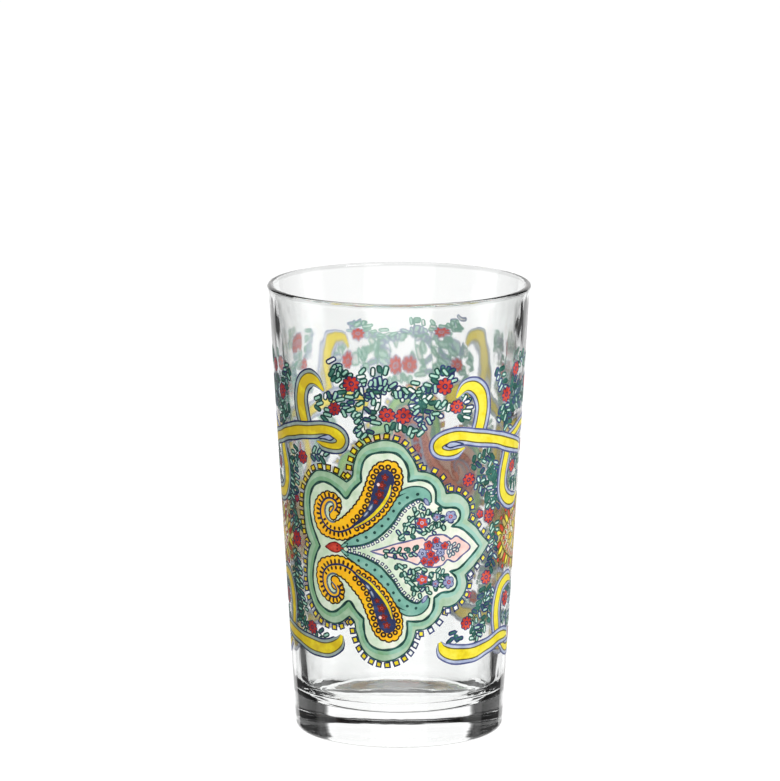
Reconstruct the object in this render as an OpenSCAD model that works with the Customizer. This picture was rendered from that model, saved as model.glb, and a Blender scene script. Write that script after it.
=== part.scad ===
// Tea glass: a tapered tumbler with a heavy base, a fire polished rim and a
// printed band. Each fired enamel colour is its own thin piece on the wall.
// The origin is the middle of the resting ring, and the band's front faces -Y.

/* [Glass] */
// Height of the glass
glass_h = 92; // [80:1:120]
// Outside diameter over the rim bead
rim_d = 53.5; // [50:0.5:64]
// Outside diameter of the wall at the table
foot_d = 42.2; // [38:0.2:48]
// Wall thickness just under the rim bead
rim_wall = 1.2; // [1:0.1:2]
// Wall thickness at the inner floor
floor_wall = 3.1; // [2.2:0.1:4]
// Thickness of the base from the table to the inner floor
base_t = 5.5; // [4:0.5:12]
// Rise of the inner floor from its middle to its corner
floor_dish = 1.1; // [0.4:0.1:2]
// Radius of the corner between the inner wall and the floor
floor_round = 5; // [2:0.5:8]
// Height of the hollow under the base
punt_h = 0.9; // [0.3:0.1:2]
// Width of the flat ring that the glass rests on
ring_w = 1.6; // [0.8:0.1:2.4]
// Radius of the outside corner of the foot
foot_round = 1.4; // [0.6:0.1:2.5]
// How far the rim bead stands out of the wall
bead_out = 0.2; // [0.1:0.05:0.4]

/* [Print] */
// Height that one share of the pattern's height stands for
print_h = 62; // [50:1:66]
// Height of the pattern's middle line above the table
print_mid = 41.3; // [38:0.1:45]
// Turn of the medallion's middle from the front, to the right
print_turn = -4.8; // [-90:0.1:90]
// Thickness of one coat of enamel
coat_t = 0.06; // [0.05:0.01:0.1]
// Width of the thin outlines
line_w = 0.3; // [0.22:0.01:0.36]
// Width of the medallion's outlines
edge_w = 0.4; // [0.3:0.01:0.5]
// Width of the pale border on each side of a ribbon
border_w = 1.1; // [0.7:0.05:1.2]
// Side of the square picots round the medallion
picot_w = 1.05; // [0.9:0.05:1.15]
// Distance between the middles of two picots
picot_pitch = 1.8; // [1.6:0.05:2.6]
// Diameter of the ringed beads on the paisleys
bead_d = 0.95; // [0.8:0.05:1.05]
// Distance between the middles of two ringed beads
bead_pitch = 1.75; // [1.6:0.05:2.4]
// Length of a garland leaf
leaf_l = 1.75; // [1.4:0.05:2]
// Width of a garland leaf
leaf_w = 0.85; // [0.75:0.05:0.95]
// Radius of a large garland flower
flower_r = 1.65; // [1.3:0.05:1.8]

/* [Hidden] */

// Copies of the pattern round the glass, and a full turn
REPEATS = 2;
FULL = 360;
// Coats, from the wall outwards
GROUND = 0;
DRAWN = 1;
TOUCHED = 2;
FINISHED = 3;
TOPPED = 4;
// Steps in a span of a drawn curve, in a stroke's round end and in a rounded corner of the glass
SPAN_STEPS = 2;
CAP_STEPS = 3;
ARC_STEPS = 6;
ROUND = 144;
SMALL_ROUND = 24;

wall_top_r = rim_d / 2 - bead_out;
foot_r = foot_d / 2;
wall_lean = atan2(wall_top_r - foot_r, glass_h);
repeat_turn = FULL / REPEATS;
print_r = wall_r(print_mid);
repeat_w = 2 * PI * print_r / REPEATS;

function wall_r(z) = foot_r + (wall_top_r - foot_r) * z / glass_h;

// Lines and curves. A point may carry a half width as its third value.

function arc(middle, r, from, to) =
    [for (i = [0:ARC_STEPS]) let (a = from + (to - from) * i / ARC_STEPS) middle + r * [cos(a), sin(a)]];
function last_of(p) = p[len(p) - 1];
function beyond(p, i) = i < 0 ? 2 * p[0] - p[1] : i >= len(p) ? 2 * last_of(p) - p[len(p) - 2] : p[i];
function catmull(a, b, c, d, t) =
    (2 * b + (c - a) * t + (2 * a - 5 * b + 4 * c - d) * t * t + (3 * b - a - 3 * c + d) * t * t * t) / 2;
function curve(p, steps = SPAN_STEPS) = concat(
    [for (i = [0:len(p) - 2], k = [0:steps - 1]) catmull(beyond(p, i - 1), p[i], p[i + 1], beyond(p, i + 2), k / steps)],
    [last_of(p)]
);
function flat(q) = [q.x, q.y];
function unit(v) = v / norm(v);
function to_left(v) = [-v.y, v.x];
function heading(a) = [cos(a), sin(a)];
function along(p, i) = unit(flat(p[min(i + 1, len(p) - 1)]) - flat(p[max(i - 1, 0)]));
function aside(p, off) = [for (i = [0:len(p) - 1]) flat(p[i]) + off * to_left(along(p, i))];
function flipped(p) = [for (q = p) [q.x, -q.y]];
function on_side(p, side) = side > 0 ? p : flipped(p);

// Outline of a brush stroke with round ends, let out to the left and right. Over the fading points at
// each end, what is let out narrows to a thin line.
function cap(middle, r, a) = [for (i = [1:CAP_STEPS - 1]) flat(middle) + r * heading(a - 180 * i / CAP_STEPS)];
function faded(out, i, last, fading) =
    fading == 0 ? out : min(out, line_w) + max(out - line_w, 0) * min(1, i / fading, (last - i) / fading);
function stroke(p, left = 0, right = 0, fading = 0) =
    let (last = len(p) - 1, small = faded(min(left, right), 0, last, fading), ahead = along(p, last), back = along(p, 0))
    concat(
        [for (i = [0:last]) flat(p[i]) + (p[i].z + faded(left, i, last, fading)) * to_left(along(p, i))],
        cap(p[last], p[last].z + small, atan2(ahead.y, ahead.x) + 90),
        [for (i = [last:-1:0]) flat(p[i]) - (p[i].z + faded(right, i, last, fading)) * to_left(along(p, i))],
        cap(p[0], p[0].z + small, atan2(back.y, back.x) - 90)
    );

// Places at an even pitch along a line, each with the line's heading there
function runs(p) = [for (i = 0, sum = 0; i < len(p); sum = sum + (i < len(p) - 1 ? norm(flat(p[i + 1]) - flat(p[i])) : 0), i = i + 1) sum];
function at_run(p, run, s) =
    let (i = [for (k = [0:len(p) - 2]) if (run[k + 1] >= s) k][0], way = flat(p[i + 1]) - flat(p[i]),
         place = flat(p[i]) + way * (s - run[i]) / (run[i + 1] - run[i]))
    [place.x, place.y, atan2(way.y, way.x)];
function spaced(p, pitch, margin) =
    let (run = runs(p), whole = last_of(run) - 2 * margin, n = max(floor(whole / pitch), 1))
    [for (i = [0:n]) at_run(p, run, margin + whole * i / n)];

// Distance between two places, the short way round the glass
function gap(a, b) = let (across = abs(a.x - b.x)) norm([min(across, repeat_w - across), a.y - b.y]);
function kept_apart(all, reach, i = 0, kept = []) =
    i >= len(all) ? kept
    : kept_apart(all, reach, i + 1, len([for (o = kept) if (gap(o, all[i]) < reach) o]) > 0 ? kept : concat(kept, [all[i]]));

// A share of the pattern, across and up from its middle, becomes a place on the flat screen
function on_screen(p) = [for (q = p) [q.x * repeat_w, q.y * print_h]];
function with_width(shares, half) =
    let (p = on_screen(shares)) [for (i = [0:len(p) - 1]) [p[i].x, p[i].y, half[i]]];
function across_mirror(shares) = [for (q = shares) [-q.x, q.y]];

// From the flat screen to the cone

function turn_at(across) = across / print_r * FULL / (2 * PI);
function middle_turn(p) = turn_at((min([for (q = p) q.x]) + max([for (q = p) q.x])) / 2);
function wrapped(p, turn) =
    [for (q = p) let (z = print_mid + q.y, a = turn_at(q.x) - turn) [wall_r(z) * sin(a), z]];

// One coat of enamel all round the wall, as high as a pattern can reach
module coat(level) {
    low = print_mid - print_h / 2;
    high = print_mid + print_h;
    inside = level * coat_t;
    outside = inside + coat_t;
    rotate_extrude($fn = ROUND)
        polygon([
            [wall_r(low) + inside, low],
            [wall_r(low) + outside, low],
            [wall_r(high) + outside, high],
            [wall_r(high) + inside, high]
        ]);
}

// A large shape bends with the wall: its wrapped outline cuts a piece out of a coat
module bent(level, outline, hole = []) {
    turn = middle_turn(outline);
    rotate([0, 0, turn])
        intersection() {
            coat(level);
            rotate([90, 0, 0])
                linear_extrude(height = rim_d)
                    difference() {
                        polygon(wrapped(outline, turn));
                        if (len(hole) > 0) polygon(wrapped(hole, turn));
                    }
        }
}

// A small mark lies flat on the wall's tangent at its own place and heading
module mark(level, q) {
    z = print_mid + q.y;
    rotate([0, 0, turn_at(q.x)])
        translate([0, -wall_r(z) - level * coat_t, z])
            rotate([90 + wall_lean, 0, 0])
                rotate([0, 0, q.z])
                    linear_extrude(height = coat_t)
                        children();
}

module all_round() {
    for (k = [0:REPEATS - 1])
        rotate([0, 0, print_turn + k * repeat_turn])
            children();
}

// Glass

// Depth below the rim and growth of the wall, from the rim bead to the floor's corner
inner_depth_shares = [0, 0.06, 0.16, 0.4, 1];
wall_growth_shares = [0, 0.22, 0.55, 0.8, 1];

module glass_body() {
    heel = [wall_r(foot_round) - foot_round / cos(wall_lean), foot_round];
    ring_in = heel.x - ring_w;
    bead_r = rim_wall / 2;
    bead = [rim_d / 2 - bead_r, glass_h - bead_r];
    corner_z = base_t + floor_dish + floor_round;
    inner_h = bead.y - corner_z;
    wall_run = curve([for (i = [0:len(inner_depth_shares) - 1])
        [rim_wall + (floor_wall - rim_wall) * wall_growth_shares[i], bead.y - inner_h * inner_depth_shares[i]]]);
    inner_wall = [for (q = wall_run) [wall_r(q.y) + bead_out - q.x, q.y]];
    corner = [last_of(inner_wall).x - floor_round, corner_z];
    color("#dfe9ea", 0.45)
        rotate_extrude($fn = ROUND)
            polygon(concat(
                [for (i = [0:ARC_STEPS]) let (s = i / ARC_STEPS) [ring_in * s, punt_h * (1 - s * s)]],
                arc(heel, foot_round, -90, -wall_lean),
                [[wall_r(glass_h - 2 * rim_wall), glass_h - 2 * rim_wall]],
                arc(bead, bead_r, -30, 180),
                [for (i = [1:len(inner_wall) - 2]) inner_wall[i]],
                arc(corner, floor_round, 0, -90),
                [for (i = [1:ARC_STEPS]) let (s = 1 - i / ARC_STEPS) [corner.x * s, base_t + floor_dish * s * s]]
            ));
}

// Medallion: a pointed cartouche that lies on its side, drawn as lobes that meet in notches.
// The shares give its upper half, from the left notch to the tip.

band_edge_shares = [
    [[-0.243, 0], [-0.258, 0.03], [-0.267, 0.08], [-0.268, 0.13], [-0.26, 0.175],
     [-0.242, 0.212], [-0.215, 0.243], [-0.18, 0.253], [-0.148, 0.248], [-0.117, 0.226]],
    [[-0.117, 0.226], [-0.101, 0.243], [-0.096, 0.28], [-0.083, 0.322], [-0.058, 0.353],
     [-0.025, 0.368], [0.01, 0.365], [0.04, 0.345], [0.062, 0.308], [0.075, 0.267]],
    [[0.075, 0.267], [0.1, 0.262], [0.127, 0.243], [0.146, 0.215], [0.153, 0.19]],
    [[0.153, 0.19], [0.18, 0.188], [0.205, 0.172], [0.222, 0.145], [0.228, 0.115], [0.222, 0.09]],
    [[0.222, 0.09], [0.245, 0.07], [0.268, 0.042], [0.305, 0]]
];
ground_edge_shares = [
    [[-0.208, 0], [-0.222, 0.03], [-0.237, 0.075], [-0.244, 0.12], [-0.24, 0.16], [-0.222, 0.197],
     [-0.193, 0.214], [-0.163, 0.212], [-0.14, 0.195], [-0.117, 0.171], [-0.098, 0.2], [-0.074, 0.229]],
    [[-0.074, 0.229], [-0.074, 0.262], [-0.067, 0.295], [-0.047, 0.32], [-0.015, 0.33],
     [0.018, 0.325], [0.042, 0.298], [0.05, 0.265], [0.05, 0.235]],
    [[0.05, 0.235], [0.078, 0.237], [0.103, 0.228], [0.122, 0.2], [0.125, 0.16]],
    [[0.125, 0.16], [0.145, 0.143], [0.17, 0.142], [0.188, 0.135], [0.196, 0.115], [0.19, 0.093], [0.172, 0.076]],
    [[0.172, 0.076], [0.2, 0.066], [0.225, 0.045], [0.265, 0]]
];

function upper_edge(lobes) = [for (lobe = lobes) let (q = on_screen(curve(lobe))) each [for (i = [0:len(q) - 2]) q[i]]];
function whole_edge(lobes) =
    let (upper = upper_edge(lobes), tip = on_screen([last_of(last_of(lobes))]))
    concat(upper, tip, [for (i = [len(upper) - 1:-1:1]) [upper[i].x, -upper[i].y]]);
// A closed outline let out by a width, or taken in where it is negative
function let_out(p, out) =
    [for (i = [0:len(p) - 1]) let (n = len(p), a = unit(p[i] - p[(i + n - 1) % n]), b = unit(p[(i + 1) % n] - p[i]),
        square = unit(to_left(a) + to_left(b))) p[i] + square * out / max(square * to_left(b), 0.6)];

band_edge = whole_edge(band_edge_shares);
ground_edge = whole_edge(ground_edge_shares);

// Picots stand on the medallion's edge, clear of its notches
picots = [for (lobe = band_edge_shares, side = [1, -1])
    let (row = spaced(aside(on_screen(curve(lobe)), picot_w * 0.65), picot_pitch, picot_w * 0.8))
    each [for (q = row) side > 0 ? q : [q.x, -q.y, -q.z]]];

// Paisleys: tapered strokes that curl in on themselves

paisley_shares = [[-0.008, 0.27], [-0.02, 0.2], [-0.05, 0.14], [-0.085, 0.096], [-0.125, 0.065], [-0.165, 0.057],
    [-0.198, 0.082], [-0.21, 0.12], [-0.197, 0.157], [-0.168, 0.172], [-0.146, 0.155], [-0.144, 0.128], [-0.16, 0.115]];
paisley_half_w = [2.6, 3.2, 3, 2.45, 1.95, 1.8, 1.5, 1.25, 1.1, 0.95, 0.75, 0.55, 0.35];
core_half_w = [1.1, 1.45, 1.15, 0.65, 0.42, 0.36, 0.3, 0.25, 0.2];

paisley = curve(with_width(paisley_shares, paisley_half_w));
paisley_core = curve(with_width([for (i = [0:len(core_half_w) - 1]) paisley_shares[i]], core_half_w));
// Beads run along both sides of the core, as far as there is room for them
function bead_row(side) =
    [for (i = [0:len(paisley_core) - 1]) if (paisley[i].z - 1.5 * bead_d > paisley_core[i].z)
        flat(paisley[i]) + side * (paisley[i].z - bead_d) * to_left(along(paisley, i))];
beads = kept_apart([for (side = [1, -1]) each spaced(bead_row(side), bead_pitch, bead_d)], bead_d + line_w / 2);

// Plumes: hooked leaves that follow the paisleys

plume_shares = [[-0.122, 0.017], [-0.095, 0.025], [-0.055, 0.04], [-0.019, 0.067], [0.009, 0.103], [0.034, 0.145],
    [0.057, 0.175], [0.08, 0.186], [0.098, 0.172], [0.104, 0.156]];
plume_half_w = [0.2, 0.35, 0.6, 0.8, 0.95, 1, 1, 0.85, 0.6, 0.3];
plume = curve(with_width(plume_shares, plume_half_w));

// Lozenge, bud, sprigs and small flowers in the middle of the medallion.
// Leaves hold place, heading and length over leaf length, flowers hold place and size over flower size.

lozenge_shares = [[-0.05, 0], [0, 0.018], [0.05, 0.035], [0.088, 0.045], [0.099, 0.037], [0.11, 0.051],
    [0.13, 0.055], [0.15, 0.052], [0.163, 0.041], [0.172, 0.033], [0.186, 0.041], [0.205, 0.028], [0.232, 0]];
bud_shares = [[-0.192, 0], [-0.176, 0.01], [-0.16, 0.018], [-0.147, 0.012], [-0.136, 0]];
function both_halves(shares) =
    let (q = on_screen(shares)) concat(q, [for (i = [len(q) - 2:-1:1]) [q[i].x, -q[i].y]]);
lozenge = both_halves(lozenge_shares);
bud = both_halves(bud_shares);
spray_leaf_shares = [
    [0.031, 0.05, 40, 0.7], [0.043, 0.077, 65, 0.8], [0.06, 0.105, 45, 0.8], [0.075, 0.126, 50, 0.7],
    [0.066, 0.068, 75, 0.7], [0.105, 0.13, 80, 0.65], [0.127, 0.12, 80, 0.75], [0.114, 0.08, 60, 0.65],
    [0.135, 0.087, 90, 0.65]
];
sprig_leaf_shares = [
    [-0.008, 0.001, -10, 0.7], [0.014, -0.004, -15, 0.7], [0.036, -0.012, -10, 0.7], [0.058, -0.011, 20, 0.6],
    [0.047, 0.008, 20, 0.6], [0.068, 0.012, 60, 0.6], [0.173, 0.006, 70, 0.65], [0.191, -0.004, -60, 0.65]
];
spray_flower_shares = [[0.09, 0.095, 0.5], [0.168, 0.111, 0.62]];
heart_flower_shares = [[0.098, -0.02, 0.5], [0.112, 0.016, 0.5], [0.143, 0.014, 0.5], [0.139, -0.024, 0.5]];

// Ribbons of the scroll frame on the medallion's right, and mirrored on its left

loop_shares = [[0.464, 0.297], [0.43, 0.312], [0.38, 0.329], [0.32, 0.35], [0.26, 0.368], [0.2, 0.38],
    [0.168, 0.381], [0.142, 0.373], [0.129, 0.356], [0.136, 0.337], [0.155, 0.329], [0.18, 0.332], [0.203, 0.341]];
loop_half_w = [0.4, 0.75, 0.72, 0.72, 0.78, 0.85, 0.95, 1.1, 1.1, 0.9, 0.8, 0.7, 0.35];
hook_shares = [[0.247, 0.425], [0.258, 0.455], [0.262, 0.5], [0.25, 0.545], [0.229, 0.57], [0.206, 0.574], [0.186, 0.56]];
hook_half_w = [0.85, 0.9, 0.95, 0.92, 0.85, 0.6, 0.2];
upper_arc_shares = [[0.37, 0.272], [0.355, 0.23], [0.356, 0.18], [0.376, 0.146], [0.41, 0.128], [0.445, 0.128], [0.468, 0.143]];
upper_arc_half_w = [0.8, 0.85, 0.85, 0.85, 0.8, 0.6, 0.3];
lower_arc_shares = [[0.464, -0.152], [0.44, -0.138], [0.41, -0.137], [0.38, -0.154], [0.363, -0.19], [0.36, -0.24], [0.37, -0.276]];
lower_arc_half_w = [0.3, 0.6, 0.85, 0.95, 0.9, 0.8, 0.75];
foot_ribbon_shares = [[0.146, -0.312], [0.156, -0.337], [0.178, -0.353], [0.21, -0.361], [0.26, -0.36], [0.32, -0.35],
    [0.38, -0.337], [0.42, -0.334], [0.46, -0.337]];
foot_ribbon_half_w = [0.3, 0.75, 0.95, 1, 0.95, 0.8, 0.75, 0.72, 0.3];
ribbons = [for (r = [
    [loop_shares, loop_half_w], [hook_shares, hook_half_w], [upper_arc_shares, upper_arc_half_w],
    [lower_arc_shares, lower_arc_half_w], [foot_ribbon_shares, foot_ribbon_half_w]]) curve(with_width(r[0], r[1]))];
fading_points = 2 * SPAN_STEPS;
// The loop has its border on the outer side alone, as it curls back on itself
function border_outline(i) = stroke(ribbons[i], i == 0 ? 0 : border_w, border_w, fading_points);

// Flowers hold place and size over flower size. Those on the mirror line aren't doubled.

mirrored_flower_shares = [
    [0.12, 0.548, 1], [0.158, 0.467, 0.85], [0.35, 0.488, 1], [0.398, 0.563, 0.92], [0.41, 0.238, 0.82],
    [0.42, -0.212, 1.1]
];
single_flower_shares = [
    [-0.022, 0.455, 0.95], [0.026, 0.452, 1], [0.222, 0.228, 0.85], [-0.262, 0.288, 0.85], [0.302, 0.095, 0.92],
    [-0.313, 0.002, 1.05], [0.3, -0.115, 0.92], [0.23, -0.258, 0.82], [-0.256, -0.285, 0.85],
    [0.5, 0.286, 0.75], [0.5, -0.345, 0.75], [0.5, 0.5, 0.95]
];
petals = 7;
heart_share = 0.3;
garland_flowers = concat(
    [for (q = mirrored_flower_shares) each [q, [-q[0], q[1], q[2]]]],
    single_flower_shares
);
function flower_place(q) = [q[0] * repeat_w, q[1] * print_h, 0];

// Scalloped outline of overlapping round petals, let out by a line
module flower_shape(size, out = 0) {
    petal_r = size * flower_r * 0.36;
    ring_r = size * flower_r - petal_r;
    circle(r = ring_r, $fn = SMALL_ROUND);
    for (i = [0:petals - 1])
        translate(ring_r * heading(FULL * i / petals))
            circle(r = petal_r + out, $fn = SMALL_ROUND);
}

// Leaves stand off a stem on both sides in turn, and one that would touch a flower or another leaf is left out

mirrored_stem_shares = [
    [[0.086, 0.408], [0.087, 0.45], [0.083, 0.5], [0.096, 0.53]],
    [[0.104, 0.478], [0.122, 0.492], [0.14, 0.49]],
    [[0.176, 0.475], [0.2, 0.48], [0.222, 0.47]],
    [[0.036, 0.484], [0.048, 0.53], [0.05, 0.575], [0.045, 0.62]],
    [[0.305, 0.575], [0.325, 0.545], [0.333, 0.52]],
    [[0.367, 0.51], [0.4, 0.51], [0.44, 0.49], [0.484, 0.5]],
    [[0.312, 0.42], [0.35, 0.432], [0.4, 0.447], [0.45, 0.447], [0.487, 0.455]],
    [[0.413, 0.58], [0.44, 0.59], [0.475, 0.575]],
    [[0.405, 0.27], [0.43, 0.262], [0.46, 0.235]],
    [[0.41, 0.205], [0.425, 0.178], [0.462, 0.18]],
    [[0.412, -0.255], [0.435, -0.285], [0.478, -0.285]],
    [[0.447, -0.21], [0.478, -0.215], [0.49, -0.2]]
];
single_stem_shares = [
    [[0.24, 0.25], [0.262, 0.27], [0.292, 0.28]],
    [[0.25, 0.215], [0.277, 0.19], [0.298, 0.16], [0.303, 0.13]],
    [[0.32, 0.07], [0.33, 0.04], [0.328, 0], [0.326, -0.045], [0.314, -0.08]],
    [[0.3, -0.15], [0.29, -0.19], [0.275, -0.225], [0.253, -0.25]],
    [[0.315, -0.235], [0.305, -0.27], [0.27, -0.3]],
    [[-0.28, 0.305], [-0.3, 0.285], [-0.308, 0.24], [-0.305, 0.2], [-0.315, 0.155]],
    [[-0.32, 0.11], [-0.328, 0.07], [-0.322, 0.035]],
    [[-0.322, -0.035], [-0.32, -0.08], [-0.314, -0.13], [-0.31, -0.18], [-0.296, -0.225]],
    [[-0.275, -0.3], [-0.295, -0.29], [-0.31, -0.26]],
    [[-0.24, -0.292], [-0.222, -0.3]]
];
leaf_lean = 55;
leaf_pitch = leaf_w + line_w;
leaf_foot = leaf_l / 2 + line_w;
stems = [for (line = concat(
    mirrored_stem_shares, [for (m = mirrored_stem_shares) across_mirror(m)], single_stem_shares)) curve(on_screen(line))];

function stem_leaves(stem) =
    let (places = spaced(stem, leaf_pitch, leaf_w / 2))
    [for (i = [0:len(places) - 1]) let (q = places[i], a = q.z + (i % 2 == 0 ? leaf_lean : -leaf_lean))
        [q.x + leaf_foot * cos(a), q.y + leaf_foot * sin(a), a]];
// Middle and both ends of the bar in a leaf
function spots(q) = [for (s = [-1, 0, 1]) flat(q) + s * (leaf_l - leaf_w) / 2 * heading(q.z)];
function reached(q, places, reach) =
    len([for (p = places) if (min([for (s = spots(q)) gap(s, p)]) < reach) p]) > 0;
function free_leaf(q) =
    !reached(q, picots, picot_w)
    && len([for (f = garland_flowers) if (reached(q, [flower_place(f)], flower_r * f[2] + line_w + leaf_w / 2)) f]) == 0
    && len([for (side = [1, -1], ribbon = ribbons, p = ribbon)
        if (reached(q, [[side * p.x, p.y]], p.z + border_w + leaf_w / 2)) p]) == 0;
function leaves_apart(all, i = 0, kept = []) =
    i >= len(all) ? kept
    : leaves_apart(all, i + 1, reached(all[i], [for (o = kept) each spots(o)], leaf_pitch) ? kept : concat(kept, [all[i]]));
leaves = leaves_apart([for (stem = stems, q = stem_leaves(stem)) if (free_leaf(q)) q]);

// A bar with round ends
module leaf_shape(l, inset = 0) {
    r = leaf_w / 2 - inset;
    square([l - leaf_w, 2 * r], center = true);
    for (side = [1, -1])
        translate([side * (l - leaf_w) / 2, 0]) circle(r = r, $fn = SMALL_ROUND);
}

// Rosette on the mirror line between two medallions

rosette_shares = [[0.362, 0], [0.385, 0.035], [0.42, 0.065], [0.46, 0.085], [0.5, 0.092]];
seed_shares = [[0.398, 0], [0.432, 0.03], [0.432, -0.035], [0.465, 0], [0.468, 0.058], [0.468, -0.062]];
seed_r = 0.55;
rosette_quarter = on_screen(curve(rosette_shares));
rosette_half = concat(rosette_quarter,
    [for (i = [len(rosette_quarter) - 2:-1:0]) [repeat_w - rosette_quarter[i].x, rosette_quarter[i].y]]);
rosette = concat(rosette_half, [for (i = [len(rosette_half) - 2:-1:1]) [rosette_half[i].x, -rosette_half[i].y]]);
seeds = [for (q = seed_shares) each [[q.x * repeat_w, q.y * print_h, 0], [(1 - q.x) * repeat_w, q.y * print_h, 0]]];

function small_place(q, side) = [q[0] * repeat_w, side * q[1] * print_h, side * (len(q) > 3 ? q[2] : 0)];

// Enamel colours, from the wall outwards

module enamel_teal() {
    color("#1f5a50")
        all_round() {
            bent(GROUND, band_edge);
            for (q = leaves) mark(GROUND, q) leaf_shape(leaf_l);
            for (side = [1, -1]) {
                bent(TOUCHED, on_side(stroke(plume, line_w, line_w), side));
                for (q = spray_leaf_shares) mark(TOUCHED, small_place(q, side)) leaf_shape(leaf_l * q[3]);
            }
            for (q = sprig_leaf_shares) mark(TOPPED, small_place(q, 1)) leaf_shape(leaf_l * q[3]);
        }
}

module enamel_navy() {
    color("#2b3f66")
        all_round() {
            for (q = picots) mark(GROUND, q) square(picot_w, center = true);
            for (q = garland_flowers) mark(GROUND, flower_place(q)) flower_shape(q[2], line_w);
            for (side = [1, -1])
                bent(TOPPED, on_side(stroke(paisley_core), side));
        }
}

module enamel_lavender() {
    color("#a9b0cf")
        all_round() {
            for (side = [0, 1], i = [0:len(ribbons) - 1])
                mirror([side, 0, 0]) bent(GROUND, border_outline(i));
            bent(TOUCHED, let_out(lozenge, line_w));
            for (side = [1, -1], q = spray_flower_shares)
                mark(TOUCHED, small_place(q, side)) flower_shape(q[2], line_w);
        }
}

module enamel_sage() {
    color("#7fae90")
        all_round()
            bent(DRAWN, let_out(band_edge, -edge_w), let_out(ground_edge, edge_w));
}

module enamel_mint() {
    color("#ddebd5")
        all_round() {
            bent(DRAWN, ground_edge);
            bent(GROUND, rosette);
            for (q = leaves) mark(DRAWN, q) leaf_shape(leaf_l, line_w * 0.8);
        }
}

module enamel_brown() {
    color("#5a3a12")
        all_round()
            for (side = [1, -1]) {
                bent(TOUCHED, on_side(stroke(paisley, line_w, line_w), side));
                for (q = beads) mark(TOPPED, [q.x, side * q.y, 0]) ring_shape();
            }
}

module ring_shape() {
    difference() {
        circle(d = bead_d, $fn = SMALL_ROUND);
        circle(d = bead_d - 1.6 * line_w, $fn = SMALL_ROUND);
    }
}

module enamel_yellow() {
    color("#f2e21c")
        all_round() {
            for (side = [0, 1], ribbon = ribbons)
                mirror([side, 0, 0]) bent(DRAWN, stroke(ribbon));
            for (q = picots) mark(DRAWN, q) square(picot_w - 1.6 * line_w, center = true);
        }
}

module enamel_aqua() {
    color("#8fc6b4")
        all_round()
            for (side = [1, -1]) bent(FINISHED, on_side(stroke(plume), side));
}

module enamel_orange() {
    color("#f7b500")
        all_round()
            for (side = [1, -1]) bent(FINISHED, on_side(stroke(paisley), side));
}

module enamel_pink() {
    color("#f6d6d0")
        all_round()
            bent(FINISHED, lozenge);
}

module enamel_red() {
    color("#d8402c")
        all_round() {
            for (q = garland_flowers) mark(DRAWN, flower_place(q)) flower_shape(q[2]);
            for (q = seeds) mark(DRAWN, q) circle(r = seed_r, $fn = SMALL_ROUND);
            for (q = heart_flower_shares) mark(TOPPED, small_place(q, 1)) flower_shape(q[2]);
            for (side = [1, -1], q = spray_flower_shares) mark(FINISHED, small_place(q, side)) flower_shape(q[2]);
            bent(TOUCHED, bud);
        }
}

glass_body();
enamel_sage();
enamel_mint();
enamel_aqua();
enamel_orange();
enamel_brown();
enamel_yellow();
enamel_lavender();
enamel_pink();
enamel_red();
enamel_teal();
enamel_navy();
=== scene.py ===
import math
import random

import bpy
from mathutils import Matrix, Vector
from mathutils.geometry import delaunay_2d_cdt


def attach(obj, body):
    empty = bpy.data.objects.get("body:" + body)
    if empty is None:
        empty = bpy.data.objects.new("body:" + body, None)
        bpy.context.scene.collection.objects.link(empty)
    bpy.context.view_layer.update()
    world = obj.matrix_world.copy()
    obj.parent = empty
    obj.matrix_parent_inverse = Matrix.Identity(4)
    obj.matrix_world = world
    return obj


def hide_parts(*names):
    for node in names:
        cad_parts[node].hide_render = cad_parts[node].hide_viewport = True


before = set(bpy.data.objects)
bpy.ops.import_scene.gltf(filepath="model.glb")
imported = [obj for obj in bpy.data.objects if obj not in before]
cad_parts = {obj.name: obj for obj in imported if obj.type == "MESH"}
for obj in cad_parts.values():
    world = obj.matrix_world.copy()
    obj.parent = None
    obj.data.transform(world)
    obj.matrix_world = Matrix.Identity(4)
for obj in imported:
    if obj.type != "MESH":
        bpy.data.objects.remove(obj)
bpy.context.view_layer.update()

chance = random.Random(11)

# Sizes in millimetres, as the solids have them. MM turns them into metres.
MM = 0.001
GLASS_H = 92
RIM_D = 53.5
FOOT_D = 42.2
RIM_WALL = 1.2
FLOOR_WALL = 3.1
BASE_T = 5.5
FLOOR_DISH = 1.1
FLOOR_ROUND = 5
PUNT_H = 0.9
RING_W = 1.6
FOOT_ROUND = 1.4
BEAD_OUT = 0.2
PRINT_H = 62
PRINT_MID = 41.3
PRINT_TURN = math.radians(-4.8)

# Steps round the glass, in its corners, in its long inner wall and up its outer wall
ROUND_STEPS = 256
CORNER_STEPS = 14
WALL_STEPS = 10
WALL_RINGS = 24
# The rim bead starts this many degrees below level
BEAD_FROM = -30
SHARP_FROM = math.radians(40)
TINY = 1e-9

# The enamel's underside is a hair off the glass, so that light gets in between, and its face stands proud
UNDER = 0.004
PROUD = 0.03

WALL_TOP_R = RIM_D / 2 - BEAD_OUT
FOOT_R = FOOT_D / 2
WALL_LEAN = math.atan2(WALL_TOP_R - FOOT_R, GLASS_H)


def wall_r(z):
    return FOOT_R + (WALL_TOP_R - FOOT_R) * z / GLASS_H


PRINT_R = wall_r(PRINT_MID)
REPEAT_W = math.pi * PRINT_R


# Lines and curves on the flat screen. A point is (across, up), or (across, up, half width).

def catmull(a, b, c, d, t):
    return tuple(
        (2 * q + (r - p) * t + (2 * p - 5 * q + 4 * r - s) * t ** 2 + (3 * q - p - 3 * r + s) * t ** 3) / 2
        for p, q, r, s in zip(a, b, c, d)
    )


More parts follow.
